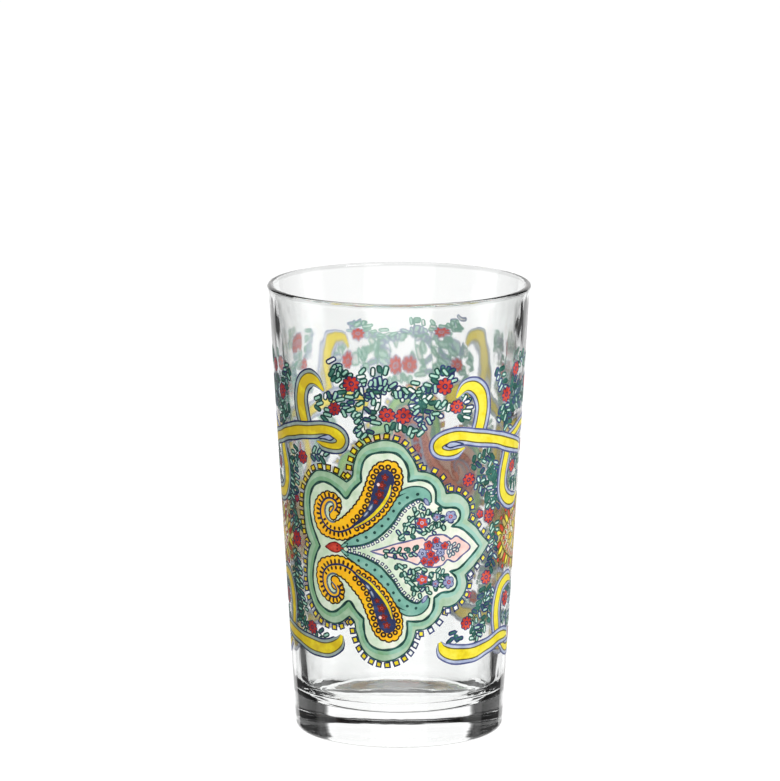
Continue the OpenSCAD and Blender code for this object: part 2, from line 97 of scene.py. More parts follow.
def curve(points, steps=6):
    first = tuple(2 * a - b for a, b in zip(points[0], points[1]))
    last = tuple(2 * a - b for a, b in zip(points[-1], points[-2]))
    whole = [first] + [tuple(p) for p in points] + [last]
    fine = []
    for i in range(len(points) - 1):
        for k in range(steps):
            fine.append(catmull(*whole[i:i + 4], k / steps))
    fine.append(tuple(points[-1]))
    return fine


def at(x, y):
    """The place on the flat screen of two shares, of the repeat's width and the print's height."""
    return (x * REPEAT_W, y * PRINT_H)


def shares(table):
    """A table, or table of tables, whose places are given in thousandths of those two sizes."""
    return [(p[0] / 1000, p[1] / 1000, *p[2:]) if isinstance(p, tuple) else shares(p) for p in table]


def on_screen(places):
    return [(*at(*p[:2]), *p[2:]) for p in places]


def mirrored(points, across, up):
    return [(across * p[0], up * p[1], *p[2:]) for p in points]


def smooth(places, across=1, up=1):
    """The smooth line through a table's places, mirrored where across or up is -1."""
    return mirrored(curve(on_screen(places)), across, up)


def headings(path, closed=False):
    """At each point, the heading from the point before it to the one after it."""
    before, after = (path[-1:], path[:1]) if closed else (path[:1], path[-1:])
    wide = before + path + after
    return [math.atan2(b[1] - a[1], b[0] - a[0]) for a, b in zip(wide, wide[2:])]


def beside(path, off, closed=False):
    """The path moved to its left by off, a number or one number for each point."""
    offs = off if isinstance(off, list) else [off] * len(path)
    return [
        (p[0] - o * math.sin(a), p[1] + o * math.cos(a))
        for p, a, o in zip(path, headings(path, closed), offs)
    ]


def spaced(path, pitch, margin=0):
    """Places at an even pitch along a path, each with the heading there."""
    run = [0]
    for a, b in zip(path, path[1:]):
        run.append(run[-1] + math.hypot(b[0] - a[0], b[1] - a[1]))
    whole = run[-1] - 2 * margin
    count = max(int(whole / pitch), 1)
    places = []
    i = 0
    for n in range(count + 1):
        s = margin + whole * n / count
        while i < len(run) - 2 and run[i + 1] < s:
            i += 1
        t = (s - run[i]) / max(run[i + 1] - run[i], TINY)
        a = path[i]
        across = path[i + 1][0] - a[0]
        up = path[i + 1][1] - a[1]
        places.append((a[0] + across * t, a[1] + up * t, math.atan2(up, across)))
    return places


# Drawing. Shapes are kept in order, and a later one covers what lies under it.

drawn = []

# Pens, by the widths of their lines
PEN_FINE = 0.2
PEN_THIN = 0.26
PEN_MEDIUM = 0.3
PEN_FIRM = 0.34
# The least end of a brush line that is rounded, and how uneven a thin line is
LEAST_CAP = 0.05
uneven_share = 0.16
UNEVEN_STEP = 0.9
UNEVEN_START = 6
LEAF_LINE = 0.32
# A pointed leaf's steps and bluntness, and how many of its lines its middle is shorter by
POINTED_STEPS = 8
POINTED_POWER = 1.3
POINTED_LINES = 3
# Parts of a flower, of its radius or of a petal's
flower_share = 0.95
petal_share = 0.74
petal_in_share = 0.25
petal_length_share = 2.6
petal_width_share = 1.46
heart_share = 0.36
eye_share = 0.19


def fill(ink, outline):
    drawn.append((ink, [(p[0], p[1]) for p in outline]))


def round_angles(count):
    return [2 * math.pi * i / count for i in range(count)]


def disc(ink, x, y, r, sides=14):
    fill(ink, [(x + r * math.cos(a), y + r * math.sin(a)) for a in round_angles(sides)])


def stroke(ink, path, left, right=None, closed=False, caps=(True, True)):
    """A brush line from short overlapping pieces, so that it may curl and cross itself."""
    right = left if right is None else right
    lefts = left if isinstance(left, list) else [left] * len(path)
    rights = right if isinstance(right, list) else [right] * len(path)
    a_side = beside(path, lefts, closed)
    b_side = beside(path, [-r for r in rights], closed)
    n = len(path)
    for i in range(n if closed else n - 1):
        k = (i + 1) % n
        way = (path[k][0] - path[i][0], path[k][1] - path[i][1])
        for edge in (a_side, b_side):
            go = (edge[k][0] - edge[i][0], edge[k][1] - edge[i][1])
            if way[0] * go[0] + way[1] * go[1] > 0:
                fill(ink, [path[i], path[k], edge[k], edge[i]])
            else:
                disc(ink, path[i][0], path[i][1], math.dist(edge[i], path[i][:2]))
    if not closed:
        for end, shown in ((0, caps[0]), (-1, caps[1])):
            r = min(lefts[end], rights[end])
            if shown and r > LEAST_CAP:
                disc(ink, path[end][0], path[end][1], r)


def brush(ink, path, out=0.0):
    """A line whose points hold their own half widths, let out by out."""
    stroke(ink, path, [p[2] + out for p in path])


def line(ink, path, width, closed=False):
    """A thin line that is a little uneven, as if drawn by hand."""
    start = chance.uniform(0, UNEVEN_START)
    waves = [math.sin(UNEVEN_STEP * i + start) for i in range(len(path))]
    halves = [width / 2 * (1 + uneven_share * wave) for wave in waves]
    stroke(ink, path, halves, closed=closed)


def turned(points, x, y, angle):
    c, s = math.cos(angle), math.sin(angle)
    return [(x + p[0] * c - p[1] * s, y + p[0] * s + p[1] * c) for p in points]


def bar_outline(length, width, steps=5):
    r = width / 2
    reach = max(length / 2 - r, 0)
    outline = []
    for side, start in ((1, -90), (-1, 90)):
        for i in range(steps + 1):
            a = math.radians(start + 180 * i / steps)
            outline.append((side * reach + r * math.cos(a), r * math.sin(a)))
    return outline


def leaf(x, y, angle, length, width, ink, middle, edge=LEAF_LINE):
    fill(ink, turned(bar_outline(length, width), x, y, angle))
    fill(middle, turned(bar_outline(length - 2 * edge, width - 2 * edge), x, y, angle))


def pointed_outline(length, width):
    angles = [math.pi * i / POINTED_STEPS for i in range(POINTED_STEPS + 1)]
    top = [(length / 2 * math.cos(a), width / 2 * math.sin(a) ** POINTED_POWER) for a in angles]
    return top + [(p[0], -p[1]) for p in top[-2:0:-1]]


def pointed(x, y, angle, length, width, ink, middle=None, edge=PEN_FINE):
    """A leaf or petal with a point at each end."""
    fill(ink, turned(pointed_outline(length, width), x, y, angle))
    if middle:
        inner = pointed_outline(length - POINTED_LINES * edge, width - 2 * edge)
        fill(middle, turned(inner, x, y, angle))


def square_mark(x, y, angle, side, ink, middle, edge):
    for name, w in ((ink, side), (middle, side - 2 * edge)):
        h = w / 2
        fill(name, turned([(-h, -h), (h, -h), (h, h), (-h, h)], x, y, angle))


def flower(x, y, r, petals=8, ink="indigo", petal="red", heart="navy", edge=PEN_FINE):
    """Round petals with dark gaps between them, about a dark heart."""
    r = flower_share * r
    petal_r = r * math.pi / petals * petal_share
    ring_r = r - petal_r
    turn = chance.uniform(0, 1)
    spots = [turn + a for a in round_angles(petals)]
    for a in spots:
        disc(ink, x + ring_r * math.cos(a), y + ring_r * math.sin(a), petal_r + edge, sides=10)
    disc("plum", x, y, ring_r + petal_in_share * petal_r)
    outline = bar_outline(petal_length_share * petal_r, petal_width_share * petal_r)
    middle_r = ring_r - petal_in_share * petal_r
    for a in spots:
        fill(petal, turned(outline, x + middle_r * math.cos(a), y + middle_r * math.sin(a), a))
    disc(heart, x, y, heart_share * r)
    disc(petal, x, y, eye_share * r, sides=8)


# Medallion's edges, as lobes that meet in notches. The shares give the upper half.

band_edge_shares = shares([
    [(-243, 0), (-258, 30), (-267, 80), (-268, 130), (-260, 175), (-242, 212), (-215, 243), (-180, 253),
     (-148, 248), (-117, 226)],
    [(-117, 226), (-101, 243), (-96, 280), (-83, 322), (-58, 353), (-25, 368), (10, 365), (40, 345),
     (62, 308), (75, 267)],
    [(75, 267), (100, 262), (127, 243), (146, 215), (153, 190)],
    [(153, 190), (180, 188), (205, 172), (222, 145), (228, 115), (222, 90)],
    [(222, 90), (245, 70), (268, 42), (305, 0)],
])
ground_edge_shares = shares([
    [(-208, 0), (-222, 30), (-237, 75), (-244, 120), (-240, 160), (-222, 197), (-193, 214), (-163, 212),
     (-140, 195), (-117, 171), (-98, 200), (-74, 229)],
    [(-74, 229), (-74, 262), (-67, 295), (-47, 320), (-15, 330), (18, 325), (42, 298), (50, 265),
     (50, 235)],
    [(50, 235), (78, 237), (103, 228), (122, 200), (125, 160)],
    [(125, 160), (145, 143), (170, 142), (188, 135), (196, 115), (190, 93), (172, 76)],
    [(172, 76), (200, 66), (225, 45), (265, 0)],
])


def whole_edge(lobes):
    upper = []
    for lobe in lobes:
        upper += on_screen(curve(lobe))[:-1]
    tip = on_screen([lobes[-1][-1]])
    return upper + tip + [(x, -y) for x, y in upper[:0:-1]]


# Paisleys, with their cores, and the plumes that follow them
paisley_outer_shares = shares([
    (-4, 303), (21, 295), (35, 263), (33, 215), (19, 178), (-11, 127), (-47, 84), (-85, 52), (-128, 30),
    (-171, 30), (-208, 48), (-225, 87), (-226, 124), (-211, 162), (-176, 186), (-146, 180), (-131, 154),
    (-135, 126), (-154, 110), (-170, 118),
])
paisley_inner_shares = shares([
    (-170, 118), (-162, 127), (-157, 137), (-158, 149), (-167, 154), (-179, 146), (-187, 123),
    (-182, 100), (-162, 87), (-133, 100), (-109, 127), (-80, 174), (-66, 212), (-51, 257), (-30, 290),
    (-4, 303),
])
core_shares = shares([
    (-104, 73), (-80, 102), (-56, 143), (-45, 190), (-34, 236), (-20, 263), (-3, 270), (12, 254),
    (12, 226), (-1, 190), (-21, 157), (-53, 115), (-80, 90), (-104, 73),
])
tail_shares = shares([
    (-100, 74), (-118, 63), (-145, 55), (-178, 63), (-200, 92), (-201, 130), (-184, 160), (-164, 166),
    (-149, 157), (-145, 138), (-152, 126),
])
crescent_shares = shares([
    (7, 222, 0.1), (-1, 190, 0.26), (-20, 155, 0.3), (-50, 113, 0.26), (-94, 75, 0.1),
])
core_bloom_shares = shares([(-9, 246, 0.85), (-18, 220, 1.0), (-24, 190, 1.05), (-36, 166, 0.65)])
core_leaf_shares = shares([(-50, 143, 62, 2.6), (-62, 122, 50, 2.2)])
plume_shares = shares([
    (-124, 16, 0.3), (-79, 36, 0.9), (-36, 68, 1.05), (-6, 107, 1.1), (14, 141, 1.1), (36, 170, 1.05),
    (60, 187, 0.95), (83, 189, 0.75), (99, 173, 0.5), (106, 156, 0.12),
])
plume_tip_shares = shares([
    (30, 196, 0.25), (46, 205, 0.42), (64, 208, 0.45), (86, 202, 0.45), (102, 185, 0.4),
    (109, 164, 0.15),
])
square_row_shares = shares([
    (-112, 5), (-86, 9), (-60, 18), (-37, 31), (-10, 50), (12, 84), (34, 123), (58, 152), (77, 166),
])

# Middle of the medallion
lozenge_upper_shares = shares([
    (-50, 0), (0, 18), (50, 35), (88, 45), (99, 37), (110, 51), (130, 55), (150, 52), (163, 41),
    (172, 33), (186, 41), (205, 28), (232, 0),
])
lozenge_lower_shares = shares([
    (205, -28), (185, -43), (165, -35), (150, -52), (130, -57), (100, -50), (85, -34), (75, -42),
    (50, -33), (0, -18),
])
bud_shares = shares([(-190, 0), (-174, 12), (-158, 17), (-144, 12), (-130, 0)])
# Place, heading and length
spray_leaf_shares = shares([
    (31, 50, 40, 1.5), (43, 77, 65, 1.6), (60, 105, 45, 1.7), (75, 126, 50, 1.4), (66, 68, 75, 1.4),
    (105, 130, 80, 1.3), (127, 120, 80, 1.5), (114, 80, 60, 1.3), (135, 87, 90, 1.3), (50, 90, 20, 1.4),
    (95, 60, 30, 1.3), (150, 75, 110, 1.3), (145, 105, 10, 1.2), (85, 150, 70, 1.3),
    (68, 140, 100, 1.2),
])
sprig_leaf_shares = shares([
    (-8, 1, -10, 1.3), (14, -4, -15, 1.3), (36, -12, -10, 1.3), (58, -11, 20, 1.2), (47, 8, 20, 1.2),
    (68, 12, 60, 1.2), (173, 6, 70, 1.3), (191, -4, -60, 1.3), (182, 14, 30, 1.1), (180, -16, -30, 1.1),
    (166, -8, 100, 1.2), (165, 20, 120, 1.2), (172, -20, 60, 1.1), (196, 6, 80, 1.1), (184, -3, 0, 1.1),
    (125, 34, 80, 1.2), (150, -30, 100, 1.1),
])
lozenge_stem_shares = shares([(-12, -4), (20, -8), (50, -4), (70, 4)])
spray_stem_shares = shares([
    [(22, 40), (45, 75), (75, 118)],
    [(55, 55), (90, 78), (120, 100), (140, 125)],
    [(70, 75), (95, 110), (100, 135)],
    [(115, 70), (140, 82), (158, 100)],
])
# Place and radius
lozenge_bloom_shares = shares([
    (90, -6, 0.8), (96, -30, 0.66), (108, 18, 0.85), (114, -12, 0.72), (134, 18, 0.8), (128, -30, 0.62),
    (154, 14, 0.66), (113, -40, 0.6), (142, -8, 0.7), (130, 36, 0.55),
])
spray_bloom_shares = shares([(90, 95, 1.0), (168, 111, 1.15), (128, 112, 0.6)])

# Ribbons of the scroll frame on the medallion's right, and mirrored on its left
loop_shares = shares([
    (464, 297, 0.5), (430, 312, 0.75), (380, 329, 0.75), (320, 350, 0.78), (260, 368, 0.8),
    (200, 380, 0.8), (168, 381, 0.85), (142, 373, 0.95), (129, 356, 0.85), (136, 337, 0.65),
    (155, 329, 0.5), (180, 332, 0.4), (203, 341, 0.15),
])
hook_shares = shares([
    (245, 390, 0.85), (255, 430, 0.95), (259, 475, 1), (248, 518, 1), (226, 543, 0.95),
    (200, 543, 0.75), (176, 515, 0.25),
])
upper_arc_shares = shares([
    (372, 300, 0.8), (355, 230, 0.85), (356, 180, 0.85), (376, 146, 0.85), (410, 128, 0.8),
    (445, 128, 0.6), (468, 143, 0.3),
])
lower_arc_shares = shares([
    (464, -152, 0.3), (440, -138, 0.6), (410, -137, 0.85), (380, -154, 0.95), (363, -190, 0.9),
    (360, -240, 0.8), (372, -310, 0.75),
])
foot_ribbon_shares = shares([
    (146, -300, 0.3), (156, -326, 0.75), (178, -344, 0.95), (210, -352, 1), (260, -351, 0.95),
    (320, -341, 0.8), (380, -327, 0.75), (420, -324, 0.72), (460, -330, 0.3),
])
arch_shares = shares([(375, 335, 0.3), (410, 350, 0.5), (450, 362, 0.6), (500, 366, 0.6)])
swag_shares = shares([(400, -350, 0.3), (430, -372, 0.5), (465, -385, 0.6), (500, -388, 0.6)])
island_shares = shares([(150, 355), (163, 365), (180, 362), (200, 353), (180, 350), (162, 347)])

# Garland flowers: place and radius
mirrored_flower_shares = shares([(350, 488, 1.65), (398, 563, 1.5), (410, 238, 1.35), (420, -212, 1.8)])
single_flower_shares = shares([
    (-97, 550, 1.65), (-143, 463, 1.35), (-5, 455, 1.55), (38, 450, 1.65), (142, 545, 1.7),
    (176, 475, 1.45), (222, 228, 1.4), (-262, 288, 1.4), (302, 95, 1.5), (-313, 2, 1.75),
    (300, -115, 1.5), (230, -258, 1.35), (-256, -285, 1.4), (500, 286, 1.25), (500, -345, 1.25),
    (500, 500, 1.55),
])
bud_bloom_shares = shares([(265, 105, 0.9), (235, -160, 0.8), (-300, 140, 0.8)])

# Garland leaves over the medallion: place and heading
crown_leaf_shares = shares([
    (-137, 607, 20), (-128, 590, 60), (-115, 580, 60), (-142, 570, 60), (-70, 395, 45), (-82, 425, 30),
    (-45, 530, -50), (-30, 525, -50), (-35, 545, 0), (-20, 545, 60), (-20, 570, 90), (-20, 600, 90),
    (-168, 500, 90), (-140, 505, 90), (-190, 478, 0), (-170, 445, -20), (-118, 478, 20),
    (-105, 470, -60), (-100, 490, 0), (-90, 450, 40), (-40, 445, 10), (-30, 480, 60), (-70, 520, 80),
    (-115, 525, 20), (-60, 560, 70), (20, 535, 50), (30, 545, 50), (35, 515, 90), (45, 520, 90),
    (55, 540, -50), (65, 470, -45), (70, 500, 20), (90, 515, 60), (90, 480, -20), (75, 440, 30),
    (100, 540, 90), (115, 445, -60), (122, 475, 10), (140, 485, 70), (203, 500, 40), (208, 465, 0),
    (200, 440, -40), (10, 415, 90), (40, 410, 80), (65, 400, 60), (150, 590, 80), (165, 575, 20),
    (125, 585, -70), (110, 565, -20), (-65, 580, 30),
])
crown_stem_shares = shares([
    [(-75, 530), (-63, 500), (-68, 450), (-60, 405)],
    [(90, 530), (83, 500), (88, 450), (80, 405)],
    [(-20, 490), (-18, 530), (-15, 600)],
    [(50, 485), (62, 510), (90, 520), (120, 530)],
    [(-60, 500), (-90, 495), (-120, 475)],
    [(90, 470), (120, 460), (150, 468)],
])
mirrored_stem_shares = shares([
    [(305, 585), (325, 545), (333, 520)],
    [(367, 510), (400, 510), (440, 490), (484, 500)],
    [(312, 420), (350, 432), (400, 447), (450, 447), (487, 455)],
    [(413, 580), (440, 590), (475, 575)],
    [(385, 470), (420, 470), (460, 475)],
    [(340, 460), (360, 410), (370, 375)],
    [(405, 270), (430, 262), (460, 235)],
    [(410, 205), (425, 178), (462, 180)],
    [(412, -255), (435, -285), (478, -285)],
    [(447, -210), (478, -215), (490, -200)],
    [(400, -180), (430, -165), (460, -175)],
])
single_stem_shares = shares([
    [(225, 275), (262, 290), (292, 300)],
    [(250, 235), (285, 230), (310, 240)],
    [(250, 215), (277, 190), (298, 160), (303, 130)],
    [(300, 280), (325, 220), (330, 160), (328, 120)],
    [(320, 70), (330, 40), (328, 0), (326, -45), (314, -80)],
    [(300, -150), (290, -190), (275, -225), (253, -250)],
    [(325, -140), (325, -190), (315, -235), (305, -270), (270, -300)],
    [(200, -280), (190, -300), (200, -320)],
    [(255, -270), (270, -300), (262, -320)],
    [(-280, 305), (-300, 285), (-308, 240), (-305, 200), (-315, 155)],
    [(-330, 280), (-335, 220), (-330, 170), (-335, 130)],
    [(-230, 300), (-210, 305), (-185, 300)],
    [(-320, 110), (-328, 70), (-322, 35)],
    [(-300, 80), (-295, 40)],
    [(-322, -35), (-320, -80), (-314, -130), (-310, -180), (-296, -225)],
    [(-335, -100), (-335, -160), (-330, -220), (-320, -270)],
    [(-275, -300), (-295, -290), (-310, -260)],
    [(-240, -292), (-222, -300), (-205, -310)],
])

# Half of the rosette between two medallions, and its seeds
rosette_shares = shares([(362, 0), (385, 35), (420, 65), (460, 85), (500, 92)])
seed_shares = shares([(360, 70), (385, 95), (335, 35), (355, -68), (385, -92), (340, -20)])

# Small marks by themselves, in the upper half of the medallion
gleam_shares = (-0.028, 0.222)
plume_bud_shares = (0.099, 0.163)
sepal_shares = (-0.128, 0.012)
bud_dot_shares = (-0.152, 0.006)

# Other lines. A HALF is half the width of a stem or line.
EDGE_LINE = 0.32
GROUND_LINE = 0.5
INNER_BAND = 1.05
ROSETTE_LINE = 0.35
STEM_HALF = 0.13
CROWN_STEM_HALF = 0.12
GAP_HALF = 0.2
TAIL_HALF = 0.22

# Ribbons, with the points over which an end tapers, and picots
RIBBON_OUT = 1.12
RIBBON_PALE = 0.78
RIBBON_TAPER = 8
HOOK_TAPER = 10
LOOP_TAPER = 6
ribbon_shift_share = 0.008
PICOT_W = 1.35
PICOT_PITCH = 1.8
LOWER_PICOT_LINE = 0.31
picot_off_share = 0.62
picot_margin_share = 0.75
yellow_picot_share = 0.45

# Garland leaves, which lean, slide and turn by chance, in degrees or, for the crown, in radians
LEAF_LEAN = (45, 70)
LEAF_AWAY = 0.15
leaf_length_shares = (0.8, 1.1)
teal_leaf_share = 0.6
pale_leaf_share = 0.55
CROWN_STEP = 1.1
crown_step_shares = (0.75, 1.25)
CROWN_SLIDE = 0.6
CROWN_FAN = 0.2
CROWN_STRAY = 0.4
CROWN_LENGTHS = (1.7, 2.4)
CROWN_WIDTH = 1.12
crown_teal_share = 0.65
crown_middles = ("leaf",) * 4 + ("white", "pine")
CROWN_SPRIG = {"pitch": 1.15, "length": 1.8}
LOZENGE_SPRIG = {"pitch": 0.8, "length": 1.4, "width": 0.9}
SPRAY_SPRIG = {"pitch": 0.8, "length": 1.5, "width": 0.95}
# What lies farther across than this also shows at the other end of the repeat
far_share = 0.45

# Rows of petals in the rosette: place, pitch, length, width, edge, ink, and their middles by turns
rosette_row_shares = [
    (1.1, 1.25, 3.4, 1.3, 0.2, "olive", ("cream", "yellow", "red")),
    (0.82, 1.3, 2.2, 1.15, 0.16, "olive", ("pink", "white")),
    (0.85, 1.3, 1.3, 0.62, 0.1, "wine", ("red",)),
    (0.5, 1.35, 2.6, 1.25, 0.18, "olive", ("orange", "white", "yellow")),
]
ROSETTE_FLOWER_R = 1.5
SEED_R = 0.55
SEED_CORE_R = 0.42

# Paisleys
SCALLOP_IN = 0.9
SCALLOP_R = 0.84
SCALLOP_LINE = 0.33
SCALLOP_PITCH = 1.15
gap_share = 0.56
BEAD_R = 0.62
BEAD_RING = 0.39
BEAD_AWAY = 0.1
BEAD_PITCH = 1.3
DASH_W = 0.48
DASH_PITCH = 0.95
# Off the tail and long
OUTER_DASH = (0.62, 1.05)
INNER_DASH = (0.66, 0.85)
inner_dash_share = 0.4
CORE_LEAF_W = 1.05
vein_share = 0.5
GLEAM_R = 0.34

# Plumes
PLUME_BROAD_LINE = 0.5
PLUME_DOT_R = 0.33
PLUME_DOT_PITCH = 1.8
PLUME_BUD = (1.9, 0.95)
PLUME_BUD_LEAN = 1.0
SQUARE_W = 0.72
SQUARE_PITCH = 1.02

# Middle of the medallion
SEPAL = (2.2, 0.9)
SEPAL_LEAN = 0.5
BUD_DOT_R = 0.2
SPRIG_LEAF_W = 0.9
sprig_leaf_share = 1.1
sprig_end_share = 0.14
SPRAY_LEAF_W = 0.95
SPRAY_LEAF_LINE = 0.29
spray_leaf_share = 1.15
lozenge_bloom_share = 1.25
spray_bloom_share = 1.1


def bloom(x, y, r, ink="indigo", petal="red", heart="violet"):
    """A small five petalled flower."""
    flower(x, y, r, petals=5, ink=ink, petal=petal, heart=heart)


def leafy(path, pitch=0.62, length=1.95, width=1.04):
    """A stem with leaves on both sides by turns."""
    stem = smooth(path)
    stroke("teal", stem, STEM_HALF)
    for i, (x, y, a) in enumerate(spaced(stem, pitch)):
        lean = a + math.radians(chance.uniform(*LEAF_LEAN)) * (1 if i % 2 else -1)
        reach = length / 2 + chance.uniform(0, LEAF_AWAY)
        size = length * chance.uniform(*leaf_length_shares)
        ink = "teal" if chance.random() < teal_leaf_share else "navy"
        middle = "leaf" if chance.random() < pale_leaf_share else "pine"
        leaf(x + reach * math.cos(lean), y + reach * math.sin(lean), lean, size, width, ink, middle)


def faded(out, count, start, end):
    """How far a border is let out at each point: over start and end points it grows from a thin line."""
    return [
        out * min(1, (i + 1) / start if start else 1, (count - i) / end if end else 1) for i in range(count)
    ]


def ribbon(path, start=0, end=0, outer="violet", pale="pearl"):
    for ink, out in ((outer, RIBBON_OUT), (pale, RIBBON_PALE), ("olive", PEN_THIN), ("yellow", 0)):
        grown = faded(out, len(path), start, end)
        stroke(ink, path, [p[2] + g for p, g in zip(path, grown)], caps=(False, end > 0))


def draw_frame(side):
    shift = -side * ribbon_shift_share * PRINT_H
    colours = ("violet", "pearl") if side > 0 else ("navy", "mist")
    for path in (arch_shares, swag_shares):
        ribbon(smooth(path, side))
    for path, start, end in (
        (upper_arc_shares, 0, RIBBON_TAPER),
        (lower_arc_shares, RIBBON_TAPER, 0),
        (hook_shares, 0, HOOK_TAPER),
        (loop_shares, 0, LOOP_TAPER),
        (foot_ribbon_shares, RIBBON_TAPER, 0),
    ):
        ribbon([(x, y + shift, h) for x, y, h in smooth(path, side)], start, end, *colours)
    island = [(x, y + shift) for x, y in smooth(island_shares + island_shares[:1], side)[:-1]]
    fill("pearl", island)
    line("navy", island, PEN_MEDIUM, closed=True)


def draw_crown_leaves():
    """Loose clusters of three leaves."""
    for x, y, a in crown_leaf_shares:
        x, y = at(x, y)
        ink = "teal" if chance.random() < crown_teal_share else "navy"
        angle = math.radians(a)
        for k in (1, -1, 0):
            step = k * CROWN_STEP * chance.uniform(*crown_step_shares)
            along = chance.uniform(-CROWN_SLIDE, CROWN_SLIDE)
            across = along * math.cos(angle) - step * math.sin(angle)
            up = along * math.sin(angle) + step * math.cos(angle)
            way = angle + CROWN_FAN * k + chance.uniform(-CROWN_STRAY, CROWN_STRAY)
            middle = chance.choice(crown_middles)
            length = chance.uniform(*CROWN_LENGTHS)
            leaf(x + across, y + up, way, length, CROWN_WIDTH, ink, middle)


def draw_garlands():
    for stem in crown_stem_shares:
        stroke("teal", smooth(stem), CROWN_STEM_HALF)
    for stem in single_stem_shares:
        leafy(stem)
    for side in (1, -1):
        for stem in mirrored_stem_shares:
            leafy(mirrored(stem, side, 1))
    draw_crown_leaves()
    for stem in crown_stem_shares[:2]:
        leafy(stem, **CROWN_SPRIG)
    for side in (1, -1):
        for x, y, r in mirrored_flower_shares:
            flower(*at(side * x, y), r)
    for x, y, r in single_flower_shares:
        for turn in ((0, -1) if x > far_share else (0,)):
            flower(*at(x + turn, y), r)
    for x, y, r in bud_bloom_shares:
        bloom(*at(x, y), r)


def rosette_row(outline, middle, share, pitch, length, width, edge, ink, middles):
    ring = [tuple(m + (c - m) * share for c, m in zip(p, middle)) for p in outline]
    for i, (x, y, a) in enumerate(spaced(ring + ring[:1], pitch)):
        pointed(x, y, a + math.pi / 2, length, width, ink, middles[i % len(middles)], edge)


def draw_rosette():
    quarter = curve(rosette_shares)
    half = quarter + [(1 - x, y) for x, y in quarter[-2::-1]]
    whole = half + [(x, -y) for x, y in half[-2:0:-1]]
    for turn in (0, -1):
        outline = on_screen([(x + turn, y) for x, y in whole])
        middle = at(0.5 + turn, 0)
        rosette_row(outline, middle, *rosette_row_shares[0])
        fill("cream", outline)
        line("olive", outline, ROSETTE_LINE, closed=True)
        for row in rosette_row_shares[1:]:
            rosette_row(outline, middle, *row)
        for x, y in seed_shares:
            for sx in (x, 1 - x):
                for ink, r in (("brown", SEED_R), ("red", SEED_CORE_R)):
                    disc(ink, *at(sx + turn, y), r)
        flower(*middle, ROSETTE_FLOWER_R)


def draw_picots():
    for lobe in band_edge_shares:
        path = beside(smooth(lobe), PICOT_W * picot_off_share)
        for x, y, a in spaced(path, PICOT_PITCH, PICOT_W * picot_margin_share):
            left = x < 0
            square_mark(x, y, a, PICOT_W, "brown" if left else "indigo", "yellow", PEN_MEDIUM)
            middle = "yellow" if left or chance.random() < yellow_picot_share else "white"
            square_mark(x, -y, -a, PICOT_W, "indigo", middle, LOWER_PICOT_LINE)


def draw_tail(tail, up):
    """The curl of a paisley, with dashes along it."""
    outer = (up, tail[4:-2], OUTER_DASH)
    inner = (-up, tail[4:int(len(tail) * inner_dash_share)], INNER_DASH)
    for side, row, (off, reach) in (outer, inner):
        for x, y, a in spaced(beside(row, side * off), DASH_PITCH):
            fill("brown", turned(bar_outline(reach, DASH_W, steps=3), x, y, a + math.pi / 2))
    stroke("navy", tail, TAIL_HALF)


def draw_core(core, up):
    """The dark core of a paisley, with what grows in it."""
    fill("navy", core)
    line("navy", core, PEN_FIRM)
    fill("plum", beside(core, -up * PEN_MEDIUM))
    for x, y, a, length in core_leaf_shares:
        place = (*at(x, up * y), up * math.radians(a))
        pointed(*place, length, CORE_LEAF_W, "navy", "slate")
        pointed(*place, vein_share * length, PEN_MEDIUM, "pearl")
    for x, y, r in core_bloom_shares:
        bloom(*at(x, up * y), r, ink="navy", petal="wine", heart="red")
    disc("pink", *at(gleam_shares[0], up * gleam_shares[1]), GLEAM_R, sides=8)
    crescent = smooth(crescent_shares, 1, up)
    brush("navy", crescent, PEN_FINE)
    brush("yellow", crescent)


def draw_paisley(up):
    inner = smooth(paisley_inner_shares, 1, up)
    whole = smooth(paisley_outer_shares, 1, up)[:-1] + inner[:-1]
    inset = beside(whole, -up * SCALLOP_IN, closed=True)
    fill("brown", whole)
    for ink, r in (("brown", SCALLOP_R + SCALLOP_LINE), ("orange", SCALLOP_R)):
        for x, y, a in spaced(inset + inset[:1], SCALLOP_PITCH):
            disc(ink, x, y, r, sides=12)
    fill("orange", beside(whole, -up * PEN_MEDIUM, closed=True))
    stroke("slate", inner[:int(len(inner) * gap_share)], GAP_HALF)
    core = smooth(core_shares, 1, up)
    rim = beside(core, up * (BEAD_R + BEAD_AWAY))
    for x, y, a in spaced(rim[3:-3], BEAD_PITCH):
        disc("brown", x, y, BEAD_R, sides=10)
        disc("orange", x, y, BEAD_R - BEAD_RING, sides=8)
    draw_tail(smooth(tail_shares, 1, up), up)
    draw_core(core, up)


def draw_plume(up):
    path = smooth(plume_shares, 1, up)
    broad = [p[2] + PLUME_BROAD_LINE for p in path]
    thin = [p[2] + PEN_THIN for p in path]
    tip = smooth(plume_tip_shares, 1, up)
    stroke("teal", path, *((thin, broad) if up > 0 else (broad, thin)))
    brush("teal", tip, PEN_MEDIUM)
    brush("aqua", tip)
    brush("aqua", path)
    for x, y, a in spaced(path[5:-14], PLUME_DOT_PITCH):
        disc("teal", x, y, PLUME_DOT_R, sides=10)
    x, y = at(*plume_bud_shares)
    pointed(x, up * y, -up * PLUME_BUD_LEAN, *PLUME_BUD, "violet", "lavender")
    for x, y, a in spaced(smooth(square_row_shares, 1, up), SQUARE_PITCH):
        square_mark(x, y, a, SQUARE_W, "navy", "white", PEN_FINE)


